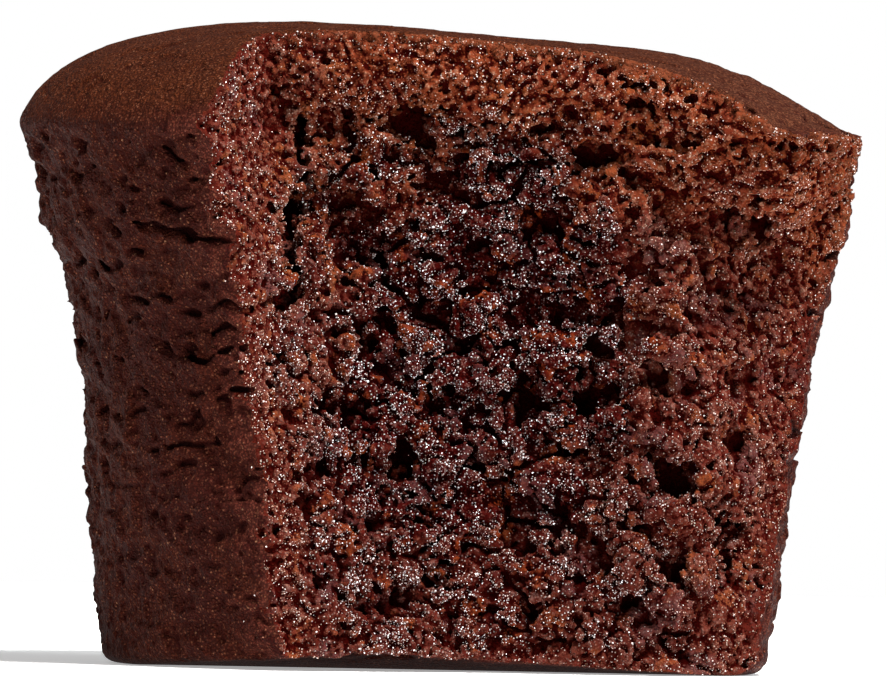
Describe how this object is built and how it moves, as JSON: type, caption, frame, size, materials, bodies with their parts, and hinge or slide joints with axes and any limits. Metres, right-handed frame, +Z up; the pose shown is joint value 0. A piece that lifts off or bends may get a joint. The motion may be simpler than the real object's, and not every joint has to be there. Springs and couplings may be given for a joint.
{
  "type": "brownie bite",
  "caption": "Small round chocolate brownie baked in a cup, with a domed crust on a flared wall and its front torn away to show moist crumb.",
  "frame": {"origin": "middle of the box on the floor under the cake", "axes": "+Z up, +X along the widest part of the cake as the torn side shows it, the torn side facing -Y"},
  "size_m": [0.0482, 0.0446, 0.0365],
  "materials": {
    "brownie_crumb": "dark chocolate cake: matte baked skin outside, moist glistening crumb where it is torn"
  },
  "bodies": {
    "root": {"brownie": "brownie_crumb"}
  },
  "joints": []
}
